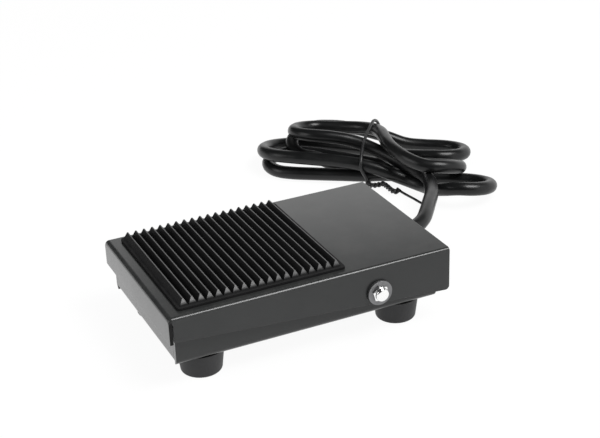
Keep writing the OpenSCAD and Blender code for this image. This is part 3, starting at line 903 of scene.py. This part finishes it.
@dataclass
class CoverSheet(Piece):
    """The pedal's cover as it is folded: a toe flange of the full width, and behind it a roof with
    two skirts, which a narrow gap keeps clear of the flange."""

    name: str = "cover_sheet"
    node: str = "pedal_cover"
    slot: Slot = Slot.PAINTED
    body: Body = Body.PEDAL
    sheet: float = 1.2 * MM
    toe_bend: float = 1.5 * MM
    skirt_bend: float = 1.3 * MM
    flange: float = 9.6 * MM
    front_depth: float = 8.9 * MM
    rear_depth: float = 16.5 * MM
    gap: float = 0.35 * MM
    lead: float = 0.4 * MM
    corner: float = 1.6 * MM
    hole: float = 4.3 * MM
    arc_points: int = 12
    hole_points: int = 40
    rows: int = 8
    drill_reach: float = 1.1
    end_facing: float = 0.98

    def toe(self) -> Shape:
        """The toe end: the bent strip from the side, carried across the whole width. Over each
        skirt's bend it sinks by the bend's radius less the circle's height there, so that the
        corner is closed.

        Returns:
            Points and faces.
        """
        run = self.sheet + self.gap - self.toe_bend
        section = bent_strip(self.toe_bend, self.sheet, run, self.flange - self.toe_bend, self.arc_points)
        half = len(section) // 2
        flat = self.high.x - self.skirt_bend
        arc = np.linspace(0, np.pi / 2, self.arc_points)
        right = flat + self.skirt_bend * np.sin(arc)
        across = np.concatenate([-right[::-1], right])
        sunk = self.skirt_bend * (1 - np.cos(arc))
        sunk = np.concatenate([sunk[::-1], sunk])
        rings = np.empty((len(across), len(section), 3))
        rings[..., 0] = across[:, None]
        rings[..., 1] = self.low.y - self.lead + self.toe_bend - section[:, 0]
        rings[..., 2] = self.high.z + section[:, 1] - sunk[:, None]
        rings[:, [half - 1, half], 2] = self.high.z - self.flange
        return strip_across(rings)

    def roof(self) -> Shape:
        """Roof and skirts: the section across is the bent strip and its mirror image, and each
        skirt's depth grows evenly toward the rear, up to a quarter circle at its lower corner.

        Returns:
            Points and faces.
        """
        start, rear = self.low.y - self.lead + self.sheet + self.gap, self.high.y
        arc = np.linspace(0, np.pi / 2, self.arc_points)
        along = np.concatenate([np.linspace(start, rear - self.corner, self.rows)[:-1],
                                rear - self.corner + self.corner * np.sin(arc)])
        share = (along - self.low.y) / (rear - self.low.y)
        depth = self.front_depth + (self.rear_depth - self.front_depth) * share
        depth[-self.arc_points:] -= self.corner * (1 - np.cos(arc))
        flat = self.high.x - self.skirt_bend
        right = bent_strip(self.skirt_bend, self.sheet, flat, 0.0, self.arc_points) + [flat, 0.0]
        left = (right * [-1.0, 1.0])[::-1]
        half = len(right) // 2
        ring = np.vstack([left[half:], right, left[:half]])
        rings = np.broadcast_to(ring, (len(along), *ring.shape)).copy()
        lower_edges = [0, 2 * half - 1, 2 * half, 4 * half - 1]
        rings[:, lower_edges, 1] = -depth[:, None]
        return strip_across(np.stack([rings[..., 0], np.broadcast_to(along[:, None], rings.shape[:2]),
                                      self.high.z + rings[..., 1]], -1))

    def bore(self, cover: Thing) -> None:
        """Cuts the axle's holes, one through each skirt.

        Args:
            cover: the cover's object.
        """
        low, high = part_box("hinge_axle")
        turn = np.linspace(0, 2 * np.pi, self.hole_points, endpoint=False)
        round_hole = np.stack([np.cos(turn), np.sin(turn)], -1) * self.hole / 2
        round_hole += [(low.y + high.y) / 2, (low.z + high.z) / 2]
        across = np.array([self.low.x, self.high.x]) * self.drill_reach
        rings = np.concatenate([np.broadcast_to(across[:, None, None], (2, len(turn), 1)),
                                np.broadcast_to(round_hole, (2, len(turn), 2))], -1)
        drill = mesh_piece("drill", *ring_shell(rings))
        cut = cover.modifiers.new("bore", "BOOLEAN")
        cut.operation = "DIFFERENCE"
        cut.solver = "EXACT"
        cut.object = drill
        bpy.context.view_layer.update()
        done = cover.evaluated_get(bpy.context.evaluated_depsgraph_get())
        cut_mesh = bpy.data.meshes.new_from_object(done)
        cover.modifiers.clear()
        cover.data = cut_mesh
        bpy.data.objects.remove(drill)

    def model(self) -> Thing:
        """Makes the cover's object: the bored roof, joined by the toe end.

        Returns:
            The object, without a finish.
        """
        cover = mesh_piece(self.name, *self.roof())
        self.bore(cover)
        toe_end = mesh_piece("toe_end", *self.toe())
        both = bmesh.new()
        both.from_mesh(cover.data)
        both.from_mesh(toe_end.data)
        both.to_mesh(cover.data)
        both.free()
        bpy.data.objects.remove(toe_end)
        return cover

    def build(self, shop: Workshop) -> Thing:
        """Makes the cover, and gives the toe's cut ends, in front of the skirts, the finish of cut sheet:
        a matt coat, darkened with painted shade.

        Args:
            shop: gives it its finishes.

        Returns:
            The cover.
        """
        cover = super().build(shop)
        # cut ends at the toe: matt coat, darkened with painted shade
        cover.data.materials.append(shop.shaded_cut_edge.build(shop.effects))
        toe_back = self.low.y - self.lead + self.sheet
        for face in cover.data.polygons:
            face.material_index = int(face.center.y < toe_back and abs(face.normal.x) > self.end_facing)
        return cover


@dataclass
class BaseCorners(Piece):
    """The two filled seams between the base's front wall and its side walls."""

    name: str = "base_corners"
    node: str = "base_tray"
    slot: Slot = Slot.PAINTED
    body: Body = Body.BASE
    in_place: bool = False
    sheet: float = 1.5 * MM
    bend: float = 2.0 * MM
    seam: float = 0.7 * MM
    height: float = 11.0 * MM
    sink: float = 0.01 * MM
    lap: float = 0.02 * MM
    arc_points: int = 10

    def shape(self) -> Shape:
        """Both fillings: each is the front wall's bent strip, as wide as the seam.

        Returns:
            Points and faces.
        """
        leg = self.height - self.bend
        section = bent_strip(self.bend, self.sheet, self.seam, leg, self.arc_points)
        inner = self.high.x - self.sheet
        parts = []
        for across in ((inner - self.seam - self.lap, inner + self.lap),
                       (-inner - self.lap, self.seam + self.lap - inner)):
            rings = np.empty((2, len(section), 3))
            rings[..., 0] = np.array(across)[:, None]
            rings[..., 1] = self.low.y + self.sink + self.bend - section[:, 0]
            rings[..., 2] = self.low.z + self.sink - section[:, 1]
            parts.append(strip_across(rings))
        return joined(parts)


# ---------- the bright nuts ----------


@dataclass
class DomedNuts(Piece):
    """The two closed nuts of the hinge: a hexagon with a broad, flat dome."""

    name: str = "domed_nuts"
    node: str = "cap_nuts"
    slot: Slot = Slot.BRIGHT
    body: Body = Body.BASE
    crease: float = 32.0
    packed_height: float = 2.8 * MM
    flats: float = 5.5 * MM
    hex_height: float = 0.9 * MM
    chamfer: float = 0.12 * MM
    shoulder: float = 0.25 * MM
    height: float = 2.3 * MM
    dome: float = 2.5 * MM
    dome_foot: float = 2.58 * MM
    flatness: float = 3.6
    bore: float = 1.54 * MM
    depth: float = 1.9 * MM
    bore_end: float = 0.02
    turn: float = 15.0
    sides: int = 96
    steps: int = 14

    def rings(self) -> np.ndarray:
        """Rings from the end of the bore, over the seat and the flats, to the top of the dome. The
        hexagon's radius is half the flats over the cosine of the angle to the nearest flat's middle.
        On the dome, radius and height go with a quarter turn's cosine and sine, each to the power
        2 / flatness.

        Returns:
            Points on the axis of the right-hand nut: height, and two directions across.
        """
        angle = np.arange(self.sides) * 2 * np.pi / self.sides
        off = (angle - np.radians(self.turn) + np.pi / 6) % (np.pi / 3) - np.pi / 6
        hexagon = self.flats / 2 / np.cos(off)
        step = np.linspace(0, np.pi / 2, self.steps)[:-1]
        across = self.dome * np.cos(step) ** (2 / self.flatness)
        climb = self.hex_height + (self.height - self.hex_height) * np.sin(step) ** (2 / self.flatness)
        profile = [(self.bore_end * self.bore, self.depth), (self.bore, self.depth), (self.bore, 0.0),
                   (hexagon - self.chamfer, 0.0), (hexagon, self.chamfer),
                   (hexagon, self.hex_height - self.shoulder), (self.dome_foot, self.hex_height),
                   *zip(across, climb)]
        radius = np.array([np.broadcast_to(reach, self.sides) for reach, _ in profile])
        height = np.array([level for _, level in profile])[:, None]
        return np.stack([np.broadcast_to(height, radius.shape), radius * np.cos(angle),
                         radius * np.sin(angle)], -1)

    def shape(self) -> Shape:
        """Both nuts, each on its own side.

        Returns:
            Points and faces.
        """
        seat = self.high.x - self.packed_height
        middle = [(self.low.y + self.high.y) / 2, (self.low.z + self.high.z) / 2]
        return joined([ring_shell(self.rings() * [side, 1.0, 1.0] + [side * seat, *middle])
                       for side in (1.0, -1.0)])


# ---------- the cord ----------


@dataclass(frozen=True)
class HankPlace:
    """The hank's own directions: u along its length, v toward its open side, z up; in millimetres."""

    origin: Point = (-84.0, 80.0, 0.0)
    along: Point = (0.622, 0.783, 0.0)
    toward: Point = (0.783, -0.622, 0.0)

    def world(self, points: object) -> np.ndarray:
        """Turns rows of u, v, z in millimetres into places in metres.

        Args:
            points: the rows.

        Returns:
            The places, one row each.
        """
        local = np.asarray(points, float)
        axes = np.array([self.along, self.toward, (0.0, 0.0, 1.0)])
        return (np.array(self.origin) + local @ axes) * MM


@dataclass
class Cord:
    """The cord: out of the strain relief in one bend, then folded back and forth in a flat hank."""

    length: float = 0.862
    diameter: float = 5.8 * MM
    fold_points: int = 9
    smoothness: int = 6
    place: HankPlace = HankPlace()
    # from the strain relief to the hank, in millimetres in the frame's own directions
    lead: tuple = (
        (-9, 58.3, 15.4), (-9, 59.3, 15.4), (-9.2, 62, 15.5), (-10.4, 65, 15.6), (-12.8, 68.4, 15.8),
        (-18.8, 73.6, 15.8), (-26, 79, 15.4), (-34, 84.8, 14.4), (-42, 89.4, 12.8))
    # runs of the hank in its own directions, each followed by the fold that ends it:
    # where the fold starts and stops, and how far it reaches, toward -u or +u
    runs: tuple = (
        (((32, 18.5, 11.2), (30.2, 11.5, 10.2), (27, 5.5, 9.5), (22.5, 0.8, 9.4), (16.5, -4, 9.8),
          (10, -8.4, 10.8), (2.5, -12, 12.6), (-5.5, -13, 15), (-14, -12, 16.9)),
         ((-24, -11, 17.8), (-24, -34.2, 12.9), -12.0)),
        (((-14, -34.2, 13.3), (-6, -32.4, 14.1), (0, -28, 15.3), (4.2, -21, 16.8), (7.3, -12.5, 17.8),
          (10.8, -4, 18.2), (16, 3.4, 17.9), (22.5, 8.6, 16.9)),
         ((29.7, 10.6, 15.8), (29.7, -12.8, 6.4), 12.3)),
        (((18, -14.5, 5.2), (6, -15, 4), (-6, -17.6, 3.8), (-20, -23.4, 3)),
         ((-34.5, -25.7, 3), (-34.5, -2, 3), -11.9)),
        (((-22, -2, 3.2), (-10, -1.6, 3.8), (0, -2, 4), (10, -5, 3.6), (20, -6.5, 3), (31, -6.3, 3)),
         ((44, -6, 3), (44, 17, 9), 11.9)),
        (((37.5, 15.4, 7.6), (31.5, 9.4, 4.7), (26.5, 4, 3.4), (20, 0.8, 4), (14, 0.4, 5.8),
          (7, 0.4, 8.2), (0, 0.3, 9.8), (-11, -0.4, 10.7), (-22, -1, 10.8)),
         ((-33.5, -1.5, 10.9), (-33.5, -36, 3), -16.0)),
        (((-18, -34.5, 3.2), (-4, -31, 3.8), (8, -27.4, 4.2), (18, -22.4, 6)),
         ((28.5, -19.4, 7.6), (28.5, -42.6, 3), 12.0)),
        (((20, -42.4, 3), (12, -41.6, 3.8), (4, -40.8, 6.6), (-5, -40, 9.2), (-15, -40.2, 10.8)),
         ((-25, -39.8, 11.1), (-25, -13.2, 6.4), -13.2)),
        (((-14, -10.2, 4.4), (-7, -9.6, 3.5), (0, -9.2, 3)), None),
    )

    def fold(self, start: Point, stop: Point, reach: float) -> np.ndarray:
        """Half a turn of the hank: from start to stop round their middle, out along u by reach,
        with the cosine of the turn between the two ends and its sine along u.

        Args:
            start: where the fold starts, in the hank's directions.
            stop: where it stops.
            reach: how far it goes along u, with its sign.

        Returns:
            Points in the hank's directions.
        """
        first, last = np.array(start, float), np.array(stop, float)
        turn = np.linspace(0, np.pi, self.fold_points)[:, None]
        return ((first + last) / 2 + np.cos(turn) * (first - last) / 2
                + np.sin(turn) * np.array([[reach, 0.0, 0.0]]))

    def route(self) -> np.ndarray:
        """All the cord's points, in metres.

        Returns:
            One row for each point.
        """
        hank = []
        for run, turn in self.runs:
            hank.append(np.array(run, float))
            if turn:
                hank.append(self.fold(*turn))
        return np.vstack([np.array(self.lead) * MM, self.place.world(np.vstack(hank))])

    def build(self, shop: Workshop, tie: Thing) -> Thing:
        """Args:
            shop: gives it its finish.
            tie: the wire that holds the hank; not used.

        Returns:
            The cord.
        """
        points = self.route()
        curve = bpy.data.curves.new("cord", "CURVE")
        curve.dimensions = "3D"
        curve.bevel_depth = self.diameter / 2
        curve.bevel_resolution = curve.resolution_u = self.smoothness
        curve.use_fill_caps = True
        spline = curve.splines.new("BEZIER")
        spline.bezier_points.add(len(points) - 1)
        spline.bezier_points.foreach_set("co", points.ravel())
        for knot in spline.bezier_points:
            knot.handle_left_type = knot.handle_right_type = "AUTO"
        cord = bpy.data.objects.new("cord", curve)
        bpy.context.scene.collection.objects.link(cord)
        shop.settle(cord, Slot.JACKET, Body.BASE, "cord_tube", "cord_hank")
        return cord


@dataclass
class TwistTie(Piece):
    """The covered wire that holds the hank: a loop round it, a twisted stretch, and a loose end."""

    name: str = "tie_wire"
    node: str = "twist_tie"
    slot: Slot = Slot.TIE
    body: Body = Body.BASE
    crease: float = 60.0
    radius: float = 0.7 * MM
    strand_share: float = 0.85
    tail_share: float = 0.8
    apart: float = 0.9
    pitch: float = 3.6 * MM
    steps: int = 6
    twist_steps: int = 12
    sides: int = 10
    place: HankPlace = HankPlace()
    loop: tuple = (
        (1.8, 0.4, 0.9), (1.4, 1.6, 4.2), (0.4, 3.2, 7.2), (-0.4, 4, 9.9), (-0.6, 2.6, 13),
        (-1, -3.5, 16.6), (-1.2, -9, 17.7), (-1, -19, 18.8), (-0.6, -28, 19.4), (0.2, -33, 17.4),
        (0.6, -38, 12.6), (0.8, -42.4, 8.6), (1, -41.6, 4.6), (1.2, -36, 1), (1.6, -28, 0.75),
        (2, -14, 0.75), (2.1, -4, 0.75))
    twist: tuple = (
        (1.9, 1.2, 1.4), (4.2, 3.4, 1.8), (6.6, 3.6, 2.2), (9, 2.6, 2.5), (11.4, 4.8, 2.3),
        (13.4, 7, 1.9), (15.3, 8, 1.6), (16.6, 5.4, 1.6))
    end: tuple = (
        (16.6, 5.4, 1.5), (17.9, 6.7, 1.1), (20.7, 9.2, 0.9), (24, 12.3, 0.9), (27.3, 15.5, 0.8),
        (31, 18.8, 0.8))

    def strands(self) -> list[np.ndarray]:
        """The two wires of the twist: each is the middle line moved out by nearly one radius, in
        a direction that turns once in each pitch.

        Returns:
            The middle line of each wire.
        """
        middle = curve_through(self.place.world(self.twist), self.twist_steps, False)
        step = np.linalg.norm(np.diff(middle, axis=0), axis=1)
        turn = np.concatenate([[0.0], np.cumsum(step)]) / self.pitch * 2 * np.pi
        ahead = unit(np.gradient(middle, axis=0))
        side = np.cross(ahead, [0.0, 0.0, 1.0])
        out = turned(turn, side, np.cross(side, ahead)) * self.radius * self.apart
        return [middle + out, middle - out]

    def shape(self) -> Shape:
        """The loop, the loose end and the two wires of the twist.

        Returns:
            Points and faces.
        """
        loop = curve_through(self.place.world(self.loop), self.steps, True)
        end = curve_through(self.place.world(self.end), self.steps, False)
        lines = [(loop, 1.0, True), (end, self.tail_share, False)]
        lines += [(strand, self.strand_share, False) for strand in self.strands()]
        return joined([tube(line, share * self.radius, self.sides, closed)
                       for line, share, closed in lines])


# ---------- the studio ----------


@dataclass(frozen=True)
class Softbox:
    """A square lamp that looks at the object."""

    name: str
    place: Point
    side: float
    power: float
    aim: Point = (0.0, 0.0, 0.02)

    def build(self) -> None:
        """Hangs the lamp."""
        lamp = bpy.data.lights.new(self.name, "AREA")
        lamp.shape = "SQUARE"
        lamp.size = self.side
        lamp.energy = self.power
        holder = bpy.data.objects.new(self.name, lamp)
        holder.location = self.place
        ahead = Vector(self.aim) - Vector(self.place)
        holder.rotation_euler = ahead.to_track_quat("-Z", "Y").to_euler()
        bpy.context.scene.collection.objects.link(holder)


@dataclass
class Studio:
    """Camera, floor, pale surround and soft lamps."""

    azimuth: float = 65.51
    elevation: float = 25.65
    roll: float = -2.18
    distance: float = 473.1 * MM
    aim: Point = (0.53 * MM, 10.0 * MM, 35.6 * MM)
    lens: float = 79.44
    sensor: float = 36.0
    nearest: float = 0.01
    floor_side: float = 6.0
    floor_colour: Colour = (0.90, 0.90, 0.90)
    floor_glow: float = 0.94
    ambient: float = 0.5
    band_top: Span = (0.38, 0.62)
    band_rear: Span = (0.05, 0.32)
    band_level: Span = (0.0, 0.06)
    band_strength: float = 0.95
    gloss_floor: float = 0.05
    lamps: tuple[Softbox, ...] = (
        Softbox("front_box", (-0.10, -1.25, 0.60), 0.8, 5.0),
        Softbox("top_box", (0.45, 0.40, 1.00), 0.55, 13.0),
    )

    def camera(self) -> None:
        """Sets the camera: it looks at its aim from a turn about Z and a height, then rolls."""
        turn, rise, roll = radians(self.azimuth), radians(self.elevation), radians(self.roll)
        back = Vector((sin(turn) * cos(rise), -cos(turn) * cos(rise), sin(rise)))
        right = Vector((cos(turn), sin(turn), 0.0))
        up = back.cross(right)
        across = right * cos(roll) + up * sin(roll)
        upright = up * cos(roll) - right * sin(roll)
        data = bpy.data.cameras.new("camera")
        data.lens = self.lens
        data.sensor_width = self.sensor
        data.clip_start = self.nearest
        eye = bpy.data.objects.new("camera", data)
        turned = Matrix((across, upright, back)).transposed().to_4x4()
        eye.matrix_world = Matrix.Translation(Vector(self.aim) + back * self.distance) @ turned
        bpy.context.scene.collection.objects.link(eye)
        bpy.context.scene.camera = eye

    @staticmethod
    def seen(page: NodePage) -> Socket:
        """Gives 1 for rays from the camera, from mirrors and through glass, and 0 for the rest.

        Args:
            page: the node page that asks.

        Returns:
            The number's socket.
        """
        path = page.add("LightPath")
        rays = page.math("MAXIMUM", path.outputs["Is Camera Ray"], path.outputs["Is Glossy Ray"])
        return page.math("MAXIMUM", rays, path.outputs["Is Transmission Ray"])

    def floor(self) -> None:
        """Lays the pale floor, which looks white and keeps the object's faint shadow."""
        half = self.floor_side / 2
        outline = half * np.array([[-1, -1, 0], [1, -1, 0], [1, 1, 0], [-1, 1, 0]])
        ground = mesh_piece("floor", outline, [[0, 1, 2, 3]])
        material = bpy.data.materials.new("floor")
        material.use_nodes = True
        page = NodePage(material.node_tree)
        plain = page.put(page.add("BsdfDiffuse"), Color=self.floor_colour)
        bright = page.put(page.add("Emission"), Color=(1.0, 1.0, 1.0), Strength=1.0)
        amount = page.math("MULTIPLY", self.seen(page), self.floor_glow)
        blend = page.add("MixShader")
        for socket, value in zip(blend.inputs, (amount, plain.outputs[0], bright.outputs[0])):
            page.feed(socket, value)
        page.put(page.add("OutputMaterial"), Surface=blend.outputs[0])
        ground.data.materials.append(material)
        ground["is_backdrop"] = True

    def surround(self) -> None:
        """Sets the world: white to the camera, pale near the horizon and dimmer above in gloss."""
        world = bpy.data.worlds.new("surround")
        bpy.context.scene.world = world
        world.use_nodes = True
        page = NodePage(world.node_tree)
        way = page.split(page.add("TexCoord").outputs["Generated"])
        low = page.span(way["Z"], *self.band_top, 1.0, 0.0)
        rear = page.span(way["Y"], *self.band_rear)
        level_gap = page.span(way["Z"], *self.band_level, 1.0, 0.0)
        band = page.math("MULTIPLY", low, page.math("MAXIMUM", rear, level_gap))
        band = page.math("MULTIPLY_ADD", band, self.band_strength, self.gloss_floor)
        path = page.add("LightPath")
        gloss = page.math("MULTIPLY", band, path.outputs["Is Glossy Ray"])
        looks = page.math("MAXIMUM", path.outputs["Is Camera Ray"], path.outputs["Is Transmission Ray"])
        direct = page.math("MAXIMUM", looks, gloss)
        hidden = page.math("SUBTRACT", 1.0, page.math("MAXIMUM", looks, path.outputs["Is Glossy Ray"]))
        level = page.math("MULTIPLY_ADD", hidden, self.ambient, direct)
        sky = page.put(page.add("Background"), Color=(1.0, 1.0, 1.0), Strength=level)
        page.put(page.add("OutputWorld"), Surface=sky.outputs[0])

    def build(self) -> None:
        """Sets up everything round the object."""
        self.camera()
        self.floor()
        self.surround()
        for lamp in self.lamps:
            lamp.build()
        bpy.context.scene.view_settings.view_transform = "Standard"


# ---------- the whole ----------


def corners() -> list[list[float]]:
    """Gives the whole object's lowest and highest corners."""
    return [[float(value) for value in corner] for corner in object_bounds()]


def main() -> None:
    """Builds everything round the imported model, and reports each piece."""
    logging.basicConfig(level=logging.INFO, format="%(name)s: %(message)s")
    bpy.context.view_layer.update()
    Studio().build()
    shop = Workshop()
    tie = TwistTie().build(shop)
    LOG.info("%s: %d points", tie.name, len(tie.data.vertices))
    cord = Cord().build(shop, tie)
    LOG.info("%s: %d knots", cord.name, len(cord.data.splines[0].bezier_points))
    shop.dress_frame()
    for maker in (PadMoulding(), CoverSheet(), BaseCorners(), DomedNuts()):
        piece = maker.build(shop)
        LOG.info("%s: %d points", piece.name, len(piece.data.vertices))


if __name__ == "__main__":
    main()
